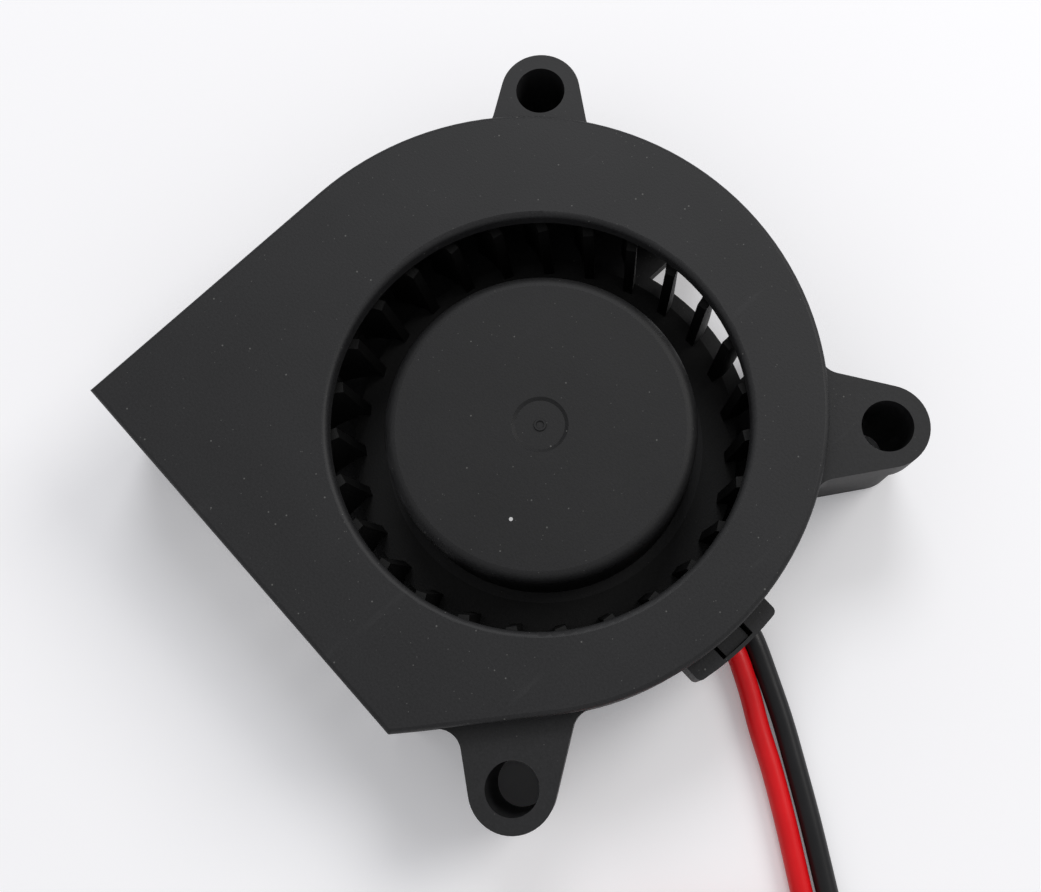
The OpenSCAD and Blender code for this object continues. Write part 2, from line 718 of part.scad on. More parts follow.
module plug_housing() {
    wall = 0.9;
    cell = 1.7;
    color([0.93, 0.93, 0.9]) translate([plug_at[0], plug_at[1], 0]) difference() {
        union() {
            translate([-plug_w / 2, -plug_l, 0]) cube([plug_w, plug_l, plug_h]);
            // two guide ribs on the upper side
            for (s = [-1, 1]) translate([s * plug_pitch / 2 - 0.4, -plug_l, plug_h - eps])
                cube([0.8, plug_l * 0.6, 0.5]);
        }
        for (s = [-1, 1]) translate([s * plug_pitch / 2 - cell / 2, -plug_l + wall, plug_h / 2 - cell / 2])
            cube([cell, plug_l, cell]);
        for (s = [-1, 1]) translate([s * plug_pitch / 2 - 0.4, -plug_l - 1, plug_h / 2 - 0.4])
            cube([0.8, plug_l, 0.8]);
    }
}

// crimped contacts, one in each cell of the connector
module plug_contacts() {
    size = 1.5;
    color([0.85, 0.83, 0.75]) for (s = [-1, 1])
        translate([plug_at[0] + s * plug_pitch / 2, plug_at[1], plug_h / 2]) difference() {
            translate([-size / 2, -plug_l + 1.1, -size / 2]) cube([size, plug_l - 1.6, size]);
            translate([-0.35, -plug_l, -0.35]) cube([0.7, plug_l - 2, 0.7]);
        }
}

frame();
top_cover();
bearing_tube();
sleeve_bearing();
thrust_pad();
stator_core();
insulator_lower();
insulator_upper();
windings();
coil_pins();
circuit_board();
driver_ic();
chip_capacitor();
chip_resistor();
solder_joints();
inner_lead_red();
inner_lead_black();
impeller();
yoke();
ring_magnet();
shaft();
oil_ring();
retaining_ring();
lead_red();
lead_black();
lead_coil();
plug_housing();
plug_contacts();
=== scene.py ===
"""Dresses a small centrifugal blower: finishes, a swept impeller, a cover with a rounded edge, lead wires
with their coil and tie, and a plain studio stage."""

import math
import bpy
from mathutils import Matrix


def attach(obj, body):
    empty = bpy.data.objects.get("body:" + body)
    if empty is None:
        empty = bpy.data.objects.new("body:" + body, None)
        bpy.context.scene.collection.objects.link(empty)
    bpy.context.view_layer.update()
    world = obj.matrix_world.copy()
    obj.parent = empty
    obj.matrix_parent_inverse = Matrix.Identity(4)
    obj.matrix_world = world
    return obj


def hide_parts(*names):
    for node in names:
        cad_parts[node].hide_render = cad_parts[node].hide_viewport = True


bl_info = {
    "name": "Centrifugal blower looks",
    "version": (1, 0, 0),
    "blender": (4, 5, 0),
    "location": "View3D > Sidebar > Blower",
    "description": "Finishes, leads and stage for a small dc centrifugal blower",
    "category": "Object",
}

import bmesh
import bpy
from mathutils import Matrix, Vector

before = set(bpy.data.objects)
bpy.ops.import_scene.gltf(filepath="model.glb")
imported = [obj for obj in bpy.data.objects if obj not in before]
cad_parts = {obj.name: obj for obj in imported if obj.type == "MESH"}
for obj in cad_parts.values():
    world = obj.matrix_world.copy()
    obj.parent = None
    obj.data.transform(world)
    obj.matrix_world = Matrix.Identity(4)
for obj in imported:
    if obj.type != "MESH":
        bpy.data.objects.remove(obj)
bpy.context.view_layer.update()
MM = 0.001


# ------------------------------------------------------------------ sizes and colours
class BLOWER_PG_plastic(bpy.types.PropertyGroup):
    colour: bpy.props.FloatVectorProperty(
        name="Plastic colour", description="Colour of the black moulded plastic",
        default=(0.0155, 0.0155, 0.0165), size=3, min=0, max=1, subtype="COLOR")
    rotor_colour: bpy.props.FloatVectorProperty(
        name="Rotor colour", description="Colour of the impeller",
        default=(0.0125, 0.0125, 0.0132), size=3, min=0, max=1, subtype="COLOR")
    grain: bpy.props.FloatProperty(
        name="Grain size", description="Width of one grain of the moulded texture",
        default=0.00016, min=0.00002, max=0.001, subtype="DISTANCE", unit="LENGTH", precision=5)
    cover_edge: bpy.props.FloatProperty(
        name="Cover edge", description="Rounding of the outer edge of the cover",
        default=0.00032, min=0.00005, max=0.0005, subtype="DISTANCE", unit="LENGTH", precision=5)
    dust: bpy.props.FloatProperty(
        name="Dust", description="Share of the surface that carries pale specks",
        default=0.5, min=0, max=1, subtype="FACTOR")


class BLOWER_PG_leads(bpy.types.PropertyGroup):
    diameter: bpy.props.FloatProperty(
        name="Lead diameter", description="Outer diameter of the insulation",
        default=0.0015, min=0.0005, max=0.003, subtype="DISTANCE", unit="LENGTH", precision=5)
    red: bpy.props.FloatVectorProperty(
        name="Red", description="Colour of the positive lead",
        default=(0.74, 0.005, 0.009), size=3, min=0, max=1, subtype="COLOR")
    black: bpy.props.FloatVectorProperty(
        name="Black", description="Colour of the negative lead",
        default=(0.010, 0.010, 0.011), size=3, min=0, max=1, subtype="COLOR")
    tie_width: bpy.props.FloatProperty(
        name="Tie width", description="Width of the band round the coil",
        default=0.0026, min=0.001, max=0.006, subtype="DISTANCE", unit="LENGTH", precision=4)


class BLOWER_PG_stage(bpy.types.PropertyGroup):
    floor: bpy.props.FloatVectorProperty(
        name="Floor colour", description="Colour of the pale sheet under the blower",
        default=(0.955, 0.95, 0.965), size=3, min=0, max=1, subtype="COLOR")
    key: bpy.props.FloatProperty(
        name="Key light", description="Power of the large soft light",
        default=1.12, min=0, max=20, unit="POWER")
    glow: bpy.props.FloatProperty(
        name="Floor glow", description="Paleness added to the floor where the camera sees it",
        default=0.15, min=0, max=1)
    fill: bpy.props.FloatProperty(
        name="Fill", description="Strength of the even light from all round",
        default=0.47, min=0, max=2)


# ------------------------------------------------------------------ shader helpers
class Num:
    """A number that varies over a surface. Python maths on it adds Math nodes."""

    def __init__(self, finish, socket):
        self.finish, self.socket = finish, socket

    def _do(self, operation, *others, clamp=False):
        made = self.finish.add("ShaderNodeMath", {"operation": operation, "use_clamp": clamp},
                               *[o.socket if isinstance(o, Num) else o for o in others])
        return Num(self.finish, made.outputs[0])

    def __add__(self, o): return self._do("ADD", self, o)
    def __sub__(self, o): return self._do("SUBTRACT", self, o)
    def __rsub__(self, o): return self._do("SUBTRACT", o, self)
    def __mul__(self, o): return self._do("MULTIPLY", self, o)
    def __rmul__(self, o): return self._do("MULTIPLY", o, self)
    def __pow__(self, o): return self._do("POWER", self, o)
    def __gt__(self, o): return self._do("GREATER_THAN", self, o)
    def __lt__(self, o): return self._do("LESS_THAN", self, o)
    def sine(self): return self._do("SINE", self)
    def most(self, o): return self._do("MINIMUM", self, o)
    def step(self, low, high):
        """0 below low, 1 above high, a straight ramp between."""
        return self._do("MULTIPLY_ADD", self, 1 / (high - low), -low / (high - low), clamp=True)


class Finish:
    """One procedural material, read in the object's own coordinates."""

    def __init__(self, name, colour, roughness=0.5, metallic=0.0, specular=0.5, coat=0.0):
        self.material = bpy.data.materials.new(name)
        self.material.use_nodes = True
        self.tree = self.material.node_tree
        self.shader = self.tree.nodes["Principled BSDF"]
        values = {"Base Color": (*colour, 1.0), "Roughness": roughness, "Metallic": metallic,
                  "Specular IOR Level": specular, "Coat Weight": coat, "Coat Roughness": 0.1}
        for socket, value in values.items():
            self.shader.inputs[socket].default_value = value
        self.place = self.add("ShaderNodeTexCoord").outputs["Object"]

    def add(self, kind, settings=None, *values, **named):
        """One node: its settings first, then the values or links of its sockets."""
        made = self.tree.nodes.new(kind)
        for key, value in (settings or {}).items():
            setattr(made, key, value)
        for key, value in [*enumerate(values), *named.items()]:
            value = value.socket if isinstance(value, Num) else value
            if value is None:
                continue
            if isinstance(value, bpy.types.NodeSocket):
                self.tree.links.new(value, made.inputs[key])
            else:
                made.inputs[key].default_value = value
        return made

    def noise(self, width, detail=2.0, roughness=0.5, stretch=None, seed=0.0):
        """Soft noise whose lumps are about width metres wide, from 0 to 1."""
        place = self.place
        if stretch or seed:
            place = self.add("ShaderNodeMapping", {}, place, (seed, seed, seed), None,
                             stretch or (1, 1, 1)).outputs[0]
        made = self.add("ShaderNodeTexNoise", {"noise_dimensions": "3D"}, Vector=place, Scale=1 / width,
                        Detail=detail, Roughness=roughness)
        return Num(self, made.outputs["Fac"])

    def specks(self, spacing, share, size, seed):
        """Small round specks: 1 on a speck. share: how many cells of that spacing hold one."""
        place = self.add("ShaderNodeMapping", {}, self.place, (seed, seed, seed)).outputs[0]
        cells = self.add("ShaderNodeTexVoronoi", {"feature": "F1"}, Vector=place, Scale=1 / spacing,
                         Randomness=1.0)
        picked = Num(self, self.add("ShaderNodeSeparateColor", {}, cells.outputs["Color"]).outputs[0])
        near = Num(self, cells.outputs["Distance"])
        return (1 - near.step(size / spacing * 0.6, size / spacing)) * (picked < share)

    def mix(self, amount, first, second):
        made = self.add("ShaderNodeMix", {"data_type": "RGBA"})
        factor, a, b = made.inputs[0], made.inputs[6], made.inputs[7]
        for socket, value in ((factor, amount), (a, first), (b, second)):
            value = value.socket if isinstance(value, Num) else value
            if isinstance(value, bpy.types.NodeSocket):
                self.tree.links.new(value, socket)
            else:
                socket.default_value = value if isinstance(value, (int, float)) else (*value[:3], 1.0)
        return made.outputs[2]

    def paint(self, colour):
        self.tree.links.new(colour, self.shader.inputs["Base Color"])

    def rough(self, value):
        self.tree.links.new(value.socket, self.shader.inputs["Roughness"])

    def radius(self):
        """Distance from the rotor axis, in metres."""
        split = self.add("ShaderNodeSeparateXYZ", {}, self.place)
        x, y = Num(self, split.outputs[0]), Num(self, split.outputs[1])
        return (x * x + y * y) ** 0.5

    def dot(self, centre, radius):
        """1 within radius of a point, 0 outside."""
        made = self.add("ShaderNodeVectorMath", {"operation": "DISTANCE"}, self.place, centre)
        return Num(self, made.outputs["Value"]) < radius

    def bump(self, height, depth, strength=1.0):
        made = self.add("ShaderNodeBump", {}, Height=height, Distance=depth, Strength=strength)
        self.tree.links.new(made.outputs[0], self.shader.inputs["Normal"])


DUST = (0.42, 0.42, 0.40)
WIPED = (0.13, 0.13, 0.132)


def black_plastic(name, colour, grain, dust, roughness=0.52, painted_shade_from=None, fleck=None):
    """Moulded black plastic: a fine even grain, faint marks and a little pale dust.

    The argument after roughness is the radius outside which the part is painted nearly black: painted shade
    where the blades lie under the cover. fleck: place of one larger pale fleck.
    """
    f = Finish(name, colour, roughness, specular=0.32)
    fine = f.noise(grain, 3.0, 0.6)
    cloud = f.noise(0.006, 3.0, 0.55, seed=0.13)
    wipe = f.noise(0.0012, 4.0, 0.6, stretch=(1, 0.12, 1), seed=0.4)
    marks = wipe.step(0.62, 0.72) * cloud.step(0.45, 0.6)
    speck = f.specks(0.0009, dust * 1.1, 0.00007, seed=0.21)
    fine_speck = f.specks(0.0005, dust, 0.000045, seed=0.47)
    shade = (fine * 0.55 + 0.72) * (cloud * 0.22 + 0.89)
    dark = [c * 0.55 for c in colour]
    pale = [c * 1.45 for c in colour]
    base = f.mix(shade.step(0.75, 1.2), dark, pale)
    base = f.mix(marks * 0.05, base, WIPED)
    base = f.mix(speck * 0.22, base, DUST)
    base = f.mix(fine_speck * 0.14, base, DUST)
    if fleck:
        base = f.mix(f.dot(fleck, 0.00013) * 0.8, base, (0.75, 0.75, 0.75))
    # Painted shade: beyond the given radius the blades lie under the cover, so their colour is darkened to
    # near black.
    if painted_shade_from:
        base = f.mix(f.radius() > painted_shade_from, base, [c * 0.07 for c in colour])
    f.paint(base)
    f.rough((fine * 0.16 + (roughness - 0.08)).most(0.95))
    f.bump(fine, 0.00002, 0.5)
    return f.material


def lead_vinyl(name, colour, gloss=0.33):
    """Smooth vinyl insulation, a little cloudy."""
    f = Finish(name, colour, gloss, specular=0.3)
    cloud = f.noise(0.0025, 3.0, 0.55)
    fine = f.noise(0.00025, 2.0, 0.5, seed=0.3)
    lighter = [min(1.0, c * 1.25 + 0.004) for c in colour]
    f.paint(f.mix(cloud.step(0.3, 0.7) * 0.35, colour, lighter))
    f.rough(cloud * 0.12 + fine * 0.08 + (gloss - 0.1))
    f.bump(cloud * 0.8 + fine * 0.2, 0.00004, 0.35)
    return f.material


def metal(name, colour, roughness, grain=0.0004, stretch=None):
    """Turned, drawn or stamped metal with fine machining marks."""
    f = Finish(name, colour, roughness, metallic=1.0)
    lines = f.noise(grain, 3.0, 0.6, stretch=stretch)
    f.paint(f.mix(lines.step(0.35, 0.7), [c * 0.82 for c in colour], colour))
    f.rough(lines * 0.2 + (roughness - 0.1))
    f.bump(lines, 0.00001, 0.4)
    return f.material


def moulded(name, colour, roughness=0.5, depth=0.00001):
    """Plain moulded or dipped material with a soft cloudiness."""
    f = Finish(name, colour, roughness)
    cloud = f.noise(0.002, 3.0, 0.5)
    fine = f.noise(0.0002, 2.0, 0.5, seed=0.2)
    f.paint(f.mix(cloud.step(0.3, 0.7), [c * 0.86 for c in colour], colour))
    f.rough(fine * 0.14 + (roughness - 0.07))
    f.bump(fine, depth, 0.4)
    return f.material


def wound_copper(name):
    """Lacquered copper wire laid in fine parallel turns."""
    f = Finish(name, (0.52, 0.20, 0.06), 0.35, metallic=0.8, coat=0.3)
    turns = (f.radius() * (2 * math.pi / 0.00014)).sine()
    f.paint(f.mix(turns.step(-0.9, 0.6), (0.16, 0.05, 0.015), (0.60, 0.25, 0.08)))
    f.bump(turns, 0.00003, 0.6)
    return f.material


def board_mask(name):
    """Green solder mask over copper tracks."""
    f = Finish(name, (0.02, 0.16, 0.06), 0.35, coat=0.4)
    tracks = f.add("ShaderNodeTexVoronoi", {"feature": "DISTANCE_TO_EDGE"}, Vector=f.place, Scale=420.0,
                   Randomness=0.6)
    edge = Num(f, tracks.outputs["Distance"]).step(0.03, 0.07)
    f.paint(f.mix(edge, (0.012, 0.09, 0.035), (0.03, 0.21, 0.08)))
    f.rough(f.noise(0.001) * 0.1 + 0.3)
    f.bump(edge, 0.00003, 0.4)
    return f.material


# ------------------------------------------------------------------ mesh helpers
def piece(name, bm, material, body):
    """A finished piece at the origin that rides on a body. Its level faces are shaded flat."""
    bmesh.ops.recalc_face_normals(bm, faces=bm.faces)
    mesh = bpy.data.meshes.new(name)
    bm.to_mesh(mesh)
    bm.free()
    made = bpy.data.objects.new(name, mesh)
    bpy.context.scene.collection.objects.link(made)
    mesh.materials.append(material)
    mesh.shade_smooth()
    mesh.set_sharp_from_angle(angle=math.radians(32))
    for face in mesh.polygons:
        face.use_smooth = abs(face.normal.z) < 0.9999
    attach(made, body)
    return made


def dress(node, material):
    """Gives a solid of the frame its finish."""
    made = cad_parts[node]
    made.data.materials.clear()
    made.data.materials.append(material)


# ------------------------------------------------------------------ leads
COIL_CENTRE = (38.9, -22.8)
COIL_START = 77
RED_OUT = [
    (18.3, 0.02, 1.15), (19.2, -0.08, 1.15), (20.2, -0.42, 1.1), (22.2, -1.4, 0.95), (24.3, -2.6, 0.85),
    (27, -4, 0.82), (30, -5.75, 0.82), (33.7, -8.05, 0.82), (36.5, -9.8, 0.85), (38.9, -11.25, 0.88)]
BLACK_OUT = [
    (18.25, 1.58, 1.15), (19.2, 1.5, 1.15), (20.3, 1.15, 1.1), (22.3, 0.25, 0.95), (25, -1.05, 0.85),
    (27.8, -2.6, 0.82), (31, -4.45, 0.82), (34.5, -6.6, 0.82), (37.4, -8.4, 0.85), (39.8, -9.85, 0.88)]
# turns made so far, distance from the coil's centre, height
RED_TURNS = [
    (0, 10.0, 0.88), (0.5, 8.38, 0.88), (1.0, 6.78, 0.88), (1.2, 6.12, 0.9), (1.45, 5.5, 2.4),
    (1.7, 6.75, 2.4), (1.95, 8.0, 2.4), (2.17, 8.65, 2.4), (2.6, 10.05, 2.4), (3.0, 11.4, 2.4),
    (3.15, 11.95, 2.4)]
BLACK_TURNS = [
    (0, 11.6, 0.88), (0.5, 10.02, 0.88), (1.0, 8.46, 0.88), (1.45, 7.08, 0.88), (1.7, 6.25, 0.9),
    (1.95, 5.5, 2.4), (2.2, 6.6, 2.4), (2.45, 7.55, 2.4), (2.7, 8.52, 2.4), (2.95, 9.6, 2.4),
    (3.15, 10.25, 2.4)]
RED_END = [
    (50.85, -22.6, 2.45), (50.9, -26, 2.6), (50.88, -29.5, 2.8), (50.85, -32.5, 2.9), (50.85, -35.3, 2.9)]
BLACK_END = [
    (49.1, -22.6, 2.45), (48.55, -26, 2.6), (48.35, -29.5, 2.8), (48.35, -32.5, 2.9), (48.35, -35.3, 2.9)]


def eased(table, t):
    """Value of a table of (t, a, b) rows at t, with a smooth pass through each row."""
    for (t0, *a), (t1, *b) in zip(table, table[1:]):
        if t <= t1:
            u = (t - t0) / (t1 - t0)
            step_up = u * u * (3 - 2 * u)
            return a[0] + (b[0] - a[0]) * u, a[1] + (b[1] - a[1]) * step_up
    return table[-1][1], table[-1][2]


def wound(table, each=20):
    """Points of the turns of the coil, each is how many points a turn has."""
    count = round(table[-1][0] * each)
    points = []
    for i in range(1, count + 1):
        t = table[-1][0] * i / count
        r, z = eased(table, t)
        a = math.radians(COIL_START - 360 * t)
        points.append((COIL_CENTRE[0] + r * math.cos(a), COIL_CENTRE[1] + r * math.sin(a), z))
    return points


def through(points, each=6):
    """A finer line on one smooth curve through the points."""
    points = [Vector(p) for p in points]
    line = []
    for i in range(len(points) - 1):
        before, after = points[max(i - 1, 0)], points[min(i + 2, len(points) - 1)]
        a, b, c, d = before, points[i], points[i + 1], after
        for k in range(each):
            u = k / each
            line.append(0.5 * (2 * b + (c - a) * u + (2 * a - 5 * b + 4 * c - d) * u ** 2
                               + (3 * b - a - 3 * c + d) * u ** 3))
    return line + [points[-1]]


def lead_wire(name, points, diameter, material):
    line = [p * MM for p in through(points)]
    data = bpy.data.curves.new(name, "CURVE")
    data.dimensions = "3D"
    data.bevel_depth = diameter / 2
    data.bevel_resolution = 5
    data.use_fill_caps = True
    spline = data.splines.new("POLY")
    spline.points.add(len(line) - 1)
    for spot, p in zip(spline.points, line):
        spot.co = (*p, 1)
    spline.use_smooth = True
    data.materials.append(material)
    made = bpy.data.objects.new(name, data)
    bpy.context.scene.collection.objects.link(made)
    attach(made, "housing")
    return made, sum((b - a).length for a, b in zip(line, line[1:]))


class BLOWER_OT_leads(bpy.types.Operator):
    """Lays the two free leads from the housing, through their coil, to the connector"""
    bl_idname = "blower.leads"
    bl_label = "Leads"

    def execute(self, context):
        sizes = context.scene.blower_leads
        red = lead_vinyl("red_vinyl", tuple(sizes.red))
        black = lead_vinyl("black_vinyl", tuple(sizes.black), 0.36)
        dress("inner_lead_red", red)
        dress("inner_lead_black", black)
        tie = coil_tie(sizes.tie_width)
        made, length = lead_wire("lead_wire_red", RED_OUT + wound(RED_TURNS) + RED_END,
                                 sizes.diameter, red)
        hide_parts("lead_red", "lead_coil")
        made, length = lead_wire("lead_wire_black", BLACK_OUT + wound(BLACK_TURNS) + BLACK_END,
                                 sizes.diameter, black)
        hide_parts("lead_black")
        return {"FINISHED"}


def coil_tie(width):
    """A band of thin film round the bundle of turns, its ends laid together as a small flag."""
    inner, outer, top, thick, turn = 4.55, 12.55, 3.3, 0.12, math.radians(205)
    bm = bmesh.new()
    corners = [(inner, 0.13), (outer, 0.13), (outer, top), (inner, top)]
    ring = [bm.verts.new((r * MM, 0, z * MM)) for r, z in corners]
    bm.faces.new(ring)
    bmesh.ops.bevel(bm, geom=bm.verts[:], offset=0.0011, offset_type="OFFSET", segments=5, profile=0.5,
                    affect="VERTICES", material=-1)
    face = bm.faces[:]
    edges = [e for e in bm.edges if e.is_boundary]
    bmesh.ops.delete(bm, geom=face, context="FACES_ONLY")
    strip = bmesh.ops.extrude_edge_only(bm, edges=edges)
    moved = [v for v in strip["geom"] if isinstance(v, bmesh.types.BMVert)]
    bmesh.ops.translate(bm, verts=moved, vec=(0, width, 0))
    bmesh.ops.translate(bm, verts=bm.verts, vec=(0, -width / 2, 0))
    bmesh.ops.recalc_face_normals(bm, faces=bm.faces)
    bmesh.ops.solidify(bm, geom=bm.faces[:], thickness=thick * MM)
    flag = bmesh.ops.create_cube(bm, size=1, matrix=Matrix.LocRotScale(
        Vector(((outer + 1.4) * MM, 0, 0.35 * MM)), None, Vector((3.2 * MM, width, 0.2 * MM))))
    flag_edges = [e for e in bm.edges if e.verts[0] in flag["verts"]]
    bmesh.ops.bevel(bm, geom=flag_edges, offset=0.00006, segments=2, profile=0.5, affect="EDGES", material=-1)
    place = Matrix.Translation((COIL_CENTRE[0] * MM, COIL_CENTRE[1] * MM, 0)) @ Matrix.Rotation(turn, 4, "Z")
    bmesh.ops.transform(bm, matrix=place, verts=bm.verts)
    film = moulded("tie_film", (0.75, 0.76, 0.78), 0.25)
    return piece("coil_tie", bm, film, "housing")


# ------------------------------------------------------------------ impeller and cover
BLADES = 27
BLADE_FOOT, BLADE_HEAD, BLADE_TIP = 12.7, 13.4, 15.7   # inner radius below, inner radius above, outer radius
BLADE_Z = (2.5, 10.0)
BLADE_THICK = 0.7
HUB_TOP = 9.4


def hub_profile():
    """Half section of the hub with its dish, its disc and its boss, from the axis round to the axis."""
    reach, edge, disc = 10.5, 0.8, 13.6
    dish = [(0, 9.25), (0.25, 9.25), (0.28, 9.35), (0.40, 9.35), (0.43, 9.25), (1.66, 9.25), (1.9, HUB_TOP)]
    turn = [math.radians(15 * k) for k in range(7)]
    rim = [(reach - edge + edge * math.sin(a), HUB_TOP - edge + edge * math.cos(a)) for a in turn]
    plate = [(reach, 3.0), (disc, 3.0), (disc, 2.3), (9.9, 2.3)]
    cup = [(9.9, 8.25), (2.2, 8.25), (2.2, 7.15), (1.0, 7.15), (1.0, 8.95), (0, 8.95)]
    return [*dish, *rim, *plate, *cup]


def blade_place(r, first):
    """Middle of a blade at radius r: it runs forward as it goes out."""
    u = (r - BLADE_FOOT) / (BLADE_TIP - BLADE_FOOT)
    a = first + math.radians(2 + 5.9 * (0.35 * u + 0.65 * u * u))
    return Vector((r * math.cos(a), r * math.sin(a), 0))


def add_blade(bm, first, steps=5):
    """One plate with softened edges. Its inner edge lies further out at the top."""
    rings = []
    for z, inner in zip(BLADE_Z, (BLADE_FOOT, BLADE_HEAD)):
        sides = [[], []]
        for k in range(steps + 1):
            r = inner + (BLADE_TIP - inner) * k / steps
            ahead = (blade_place(r + 0.01, first) - blade_place(r, first)).normalized()
            across = Vector((-ahead.y, ahead.x, 0)) * BLADE_THICK / 2
            for side, sign in zip(sides, (1, -1)):
                side.append(bm.verts.new((blade_place(r, first) + sign * across + Vector((0, 0, z))) * MM))
        rings.append(sides[0] + sides[1][::-1])
    low, high = rings
    count = len(low)
    faces = [bm.faces.new(low[::-1]), bm.faces.new(high)]
    for i in range(count):
        j = (i + 1) % count
        faces.append(bm.faces.new((low[i], low[j], high[j], high[i])))
    sharp = [e for e in {e for f in faces for e in f.edges} if e.calc_face_angle() > 1]
    sharp.sort(key=lambda e: tuple(round(c, 9) for v in e.verts for c in v.co))
    bmesh.ops.bevel(bm, geom=sharp, offset=0.00008, segments=2, profile=0.5, affect="EDGES", material=-1)


def impeller_shape():
    """Hub, disc and boss turned about the axis, with the blades set round them."""
    bm = bmesh.new()
    profile = [bm.verts.new((r * MM, 0, z * MM)) for r, z in hub_profile()]
    edges = [bm.edges.new(pair) for pair in zip(profile, profile[1:])]
    bmesh.ops.spin(bm, geom=profile + edges, axis=(0, 0, 1), cent=(0, 0, 0), angle=2 * math.pi, steps=144,
                   use_merge=True)
    bmesh.ops.remove_doubles(bm, verts=bm.verts, dist=1e-6)
    for k in range(BLADES):
        add_blade(bm, 2 * math.pi * k / BLADES)
    return bm


def rounded_cover(radius):
    """The cover's own solid with the outer edge of its upper face rounded."""
    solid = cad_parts["top_cover"]
    bm = bmesh.new()
    bm.from_mesh(solid.data)
    bmesh.ops.transform(bm, matrix=solid.matrix_world, verts=bm.verts)
    bmesh.ops.remove_doubles(bm, verts=bm.verts, dist=1e-6)
    bmesh.ops.dissolve_limit(bm, angle_limit=math.radians(0.5), verts=bm.verts, edges=bm.edges)
    top = max(v.co.z for v in bm.verts)
    outer = [e for e in bm.edges if len(e.link_faces) == 2 and e.calc_face_angle() > 1
             and all(abs(v.co.z - top) < 1e-5 and v.co.xy.length > 0.0148 for v in e.verts)]
    bmesh.ops.bevel(bm, geom=outer, offset=radius, segments=3, profile=0.5, affect="EDGES", material=-1)
    return bm


# ------------------------------------------------------------------ blower
class BLOWER_OT_housing(bpy.types.Operator):
    """Finishes the scroll housing and its cover in grained black plastic"""
    bl_idname = "blower.housing"
    bl_label = "Housing"

    def execute(self, context):
        look = context.scene.blower_plastic
        skin = black_plastic("grained_black", tuple(look.colour), look.grain, look.dust)
        dress("frame", skin)
        cover = piece("rounded_cover", rounded_cover(look.cover_edge), skin, "housing")
        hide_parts("top_cover")
        return {"FINISHED"}


class BLOWER_OT_rotor(bpy.types.Operator):
    """Finishes the impeller, the yoke, the magnet and the shaft parts"""
    bl_idname = "blower.rotor"
    bl_label = "Rotor"

    def execute(self, context):
        look = context.scene.blower_plastic
        # The rotor colour is painted nearly black beyond 11.2 mm from the axis: painted shade on the blades
        # under the cover.
        skin = black_plastic("rotor_black", tuple(look.rotor_colour), look.grain * 0.9, look.dust * 0.8,
                             roughness=0.55, painted_shade_from=0.0112, fleck=(0.00333, -0.00568, HUB_TOP * MM))
        made = piece("swept_impeller", impeller_shape(), skin, "rotor")
        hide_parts("impeller")
        steel = metal("ground_steel", (0.62, 0.62, 0.63), 0.25, stretch=(1, 1, 0.1))
        dress("yoke", metal("drawn_steel", (0.50, 0.51, 0.52), 0.38))
        dress("ring_magnet", moulded("bonded_ferrite", (0.055, 0.05, 0.05), 0.7, 0.00003))
        dress("shaft", steel)
        dress("retaining_ring", steel)
        dress("oil_ring", moulded("ring_nylon", (0.7, 0.66, 0.55), 0.5))
        return {"FINISHED"}


class BLOWER_OT_motor(bpy.types.Operator):
    """Finishes the bearing, the stator and its windings"""
    bl_idname = "blower.motor"
    bl_label = "Motor"

    def execute(self, context):
        nylon = moulded("bobbin_nylon", (0.82, 0.80, 0.74), 0.45)
        dress("bearing_tube", metal("turned_brass", (0.78, 0.58, 0.26), 0.28, stretch=(1, 1, 6)))
        dress("sleeve_bearing", metal("sintered_bronze", (0.42, 0.28, 0.16), 0.5, grain=0.00012))
        dress("thrust_pad", moulded("pad_resin", (0.80, 0.77, 0.66), 0.5))
        dress("stator_core", metal("silicon_steel", (0.38, 0.39, 0.41), 0.45, stretch=(1, 1, 12)))
        dress("insulator_lower", nylon)
        dress("insulator_upper", nylon)
        dress("windings", wound_copper("lacquered_copper"))
        dress("coil_pins", metal("pin_tin", (0.75, 0.74, 0.70), 0.3))
        return {"FINISHED"}


class BLOWER_OT_board(bpy.types.Operator):
    """Finishes the circuit board and the parts on it"""
    bl_idname = "blower.board"
    bl_label = "Circuit board"

    def execute(self, context):
        solder = metal("solder", (0.72, 0.72, 0.72), 0.22)
        dress("circuit_board", board_mask("solder_mask"))
        dress("driver_ic", moulded("chip_resin", (0.03, 0.03, 0.032), 0.6))
        dress("chip_capacitor", moulded("chip_ceramic", (0.42, 0.30, 0.18), 0.5))
        dress("chip_resistor", moulded("chip_glaze", (0.03, 0.03, 0.03), 0.3))
        dress("solder_joints", solder)
        return {"FINISHED"}


class BLOWER_OT_connector(bpy.types.Operator):
    """Finishes the connector at the end of the leads"""
    bl_idname = "blower.connector"
    bl_label = "Connector"

    def execute(self, context):
        dress("plug_housing", moulded("plug_nylon", (0.84, 0.83, 0.78), 0.42))
        dress("plug_contacts", metal("contact_tin", (0.78, 0.76, 0.68), 0.3))
        return {"FINISHED"}


# ------------------------------------------------------------------ stage
SCREW_HOLES = ((-17.38, 16.23), (15.82, 16.23), (15.82, -16.97))


def soft_lamp(name, power, width, place, aim, colour=(1, 1, 1)):
    data = bpy.data.lights.new(name, "AREA")
    data.shape = "DISK"
    data.size = width
    data.energy = power
    data.color = colour
    lamp = bpy.data.objects.new(name, data)
    bpy.context.scene.collection.objects.link(lamp)
    lamp.location = place
    lamp.rotation_euler = (Vector(aim) - Vector(place)).to_track_quat("-Z", "Y").to_euler()


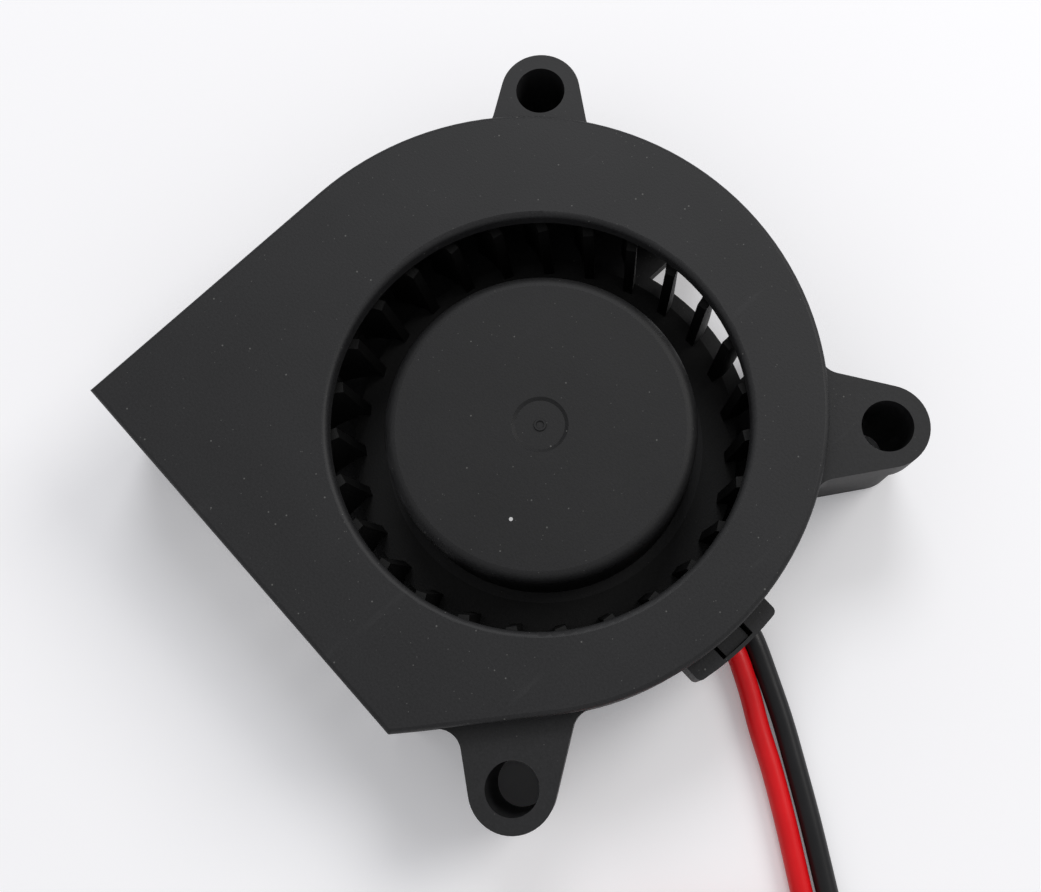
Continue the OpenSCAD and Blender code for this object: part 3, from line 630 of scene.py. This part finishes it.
class BLOWER_OT_stage(bpy.types.Operator):
    """Sets the camera, the pale floor and the soft light"""
    bl_idname = "blower.stage"
    bl_label = "Stage"

    def execute(self, context):
        scene = context.scene
        look = scene.blower_stage
        data = bpy.data.cameras.new("blower_camera")
        data.sensor_width = 36.0
        data.lens = 44.96
        data.shift_x = -0.0279
        data.shift_y = -0.0534
        data.clip_start = 0.005
        data.clip_end = 20
        camera = bpy.data.objects.new("blower_camera", data)
        scene.collection.objects.link(camera)
        right = Vector((0.68096, 0.73108, -0.04250))
        up = Vector((-0.70294, 0.66882, 0.24199))
        back = right.cross(up)
        camera.matrix_world = Matrix.Translation((0.016568, -0.009667, 0.09358)) @ Matrix(
            (right, up, back)).transposed().to_4x4()
        scene.camera = camera

        bm = bmesh.new()
        bmesh.ops.create_circle(bm, cap_ends=True, segments=64, radius=3.0)
        mesh = bpy.data.meshes.new("floor")
        bm.to_mesh(mesh)
        bm.free()
        paper = Finish("pale_sheet", tuple(look.floor), 0.9, specular=0.1)
        paper.paint(paper.mix(paper.noise(0.12, 2.0).step(0.35, 0.65), [c * 0.985 for c in look.floor],
                              tuple(look.floor)))
        seen = Num(paper, paper.add("ShaderNodeLightPath").outputs["Is Camera Ray"])
        # Painted shade: the camera-only glow is left off in spots under the three screw holes, so the floor
        # seen down the holes stays dark.
        for x, y in SCREW_HOLES:
            seen = seen * (1 - paper.dot((x * MM, y * MM, 0), 0.0019))
        paper.tree.links.new(paper.mix(seen, (0, 0, 0), [look.glow * c for c in (0.97, 0.97, 1.0)]),
                             paper.shader.inputs["Emission Color"])
        paper.shader.inputs["Emission Strength"].default_value = 1.0
        mesh.materials.append(paper.material)
        floor = bpy.data.objects.new("floor", mesh)
        scene.collection.objects.link(floor)

        soft_lamp("key_lamp", look.key, 0.30, (0.10, 0.42, 0.42), (0, 0, 0), (1.0, 0.985, 0.96))
        soft_lamp("top_lamp", look.key * 0.75, 0.24, (-0.27, 0.25, 0.46), (0, 0, 0), (0.97, 0.98, 1.0))
        world = bpy.data.worlds.new("even_light")
        world.use_nodes = True
        even = world.node_tree.nodes["Background"]
        even.inputs[0].default_value = (0.98, 0.985, 1.0, 1)
        even.inputs[1].default_value = look.fill
        scene.world = world
        scene.view_settings.view_transform = "Standard"
        return {"FINISHED"}


class BLOWER_PT_panel(bpy.types.Panel):
    """Lists the steps that dress the blower"""
    bl_idname = "BLOWER_PT_panel"
    bl_label = "Blower"
    bl_space_type = "VIEW_3D"
    bl_region_type = "UI"
    bl_category = "Blower"

    def draw(self, context):
        column = self.layout.column()
        for group in ("blower_plastic", "blower_leads", "blower_stage"):
            settings = getattr(context.scene, group)
            for key in settings.bl_rna.properties.keys():
                if key not in ("rna_type", "name"):
                    column.prop(settings, key)
        for step in STEPS:
            column.operator(step.bl_idname)


STEPS = (BLOWER_OT_stage, BLOWER_OT_leads, BLOWER_OT_housing, BLOWER_OT_rotor, BLOWER_OT_motor,
         BLOWER_OT_board, BLOWER_OT_connector)
GROUPS = (BLOWER_PG_plastic, BLOWER_PG_leads, BLOWER_PG_stage)


def register():
    for item in (*GROUPS, *STEPS, BLOWER_PT_panel):
        bpy.utils.register_class(item)
    bpy.types.Scene.blower_plastic = bpy.props.PointerProperty(type=BLOWER_PG_plastic)
    bpy.types.Scene.blower_leads = bpy.props.PointerProperty(type=BLOWER_PG_leads)
    bpy.types.Scene.blower_stage = bpy.props.PointerProperty(type=BLOWER_PG_stage)


def unregister():
    for name in ("blower_plastic", "blower_leads", "blower_stage"):
        delattr(bpy.types.Scene, name)
    for item in (BLOWER_PT_panel, *STEPS, *GROUPS):
        bpy.utils.unregister_class(item)


def main():
    register()
    bpy.ops.blower.stage()
    bpy.ops.blower.leads()
    bpy.ops.blower.housing()
    bpy.ops.blower.rotor()
    bpy.ops.blower.motor()
    bpy.ops.blower.board()
    bpy.ops.blower.connector()


if __name__ == "__main__":
    main()
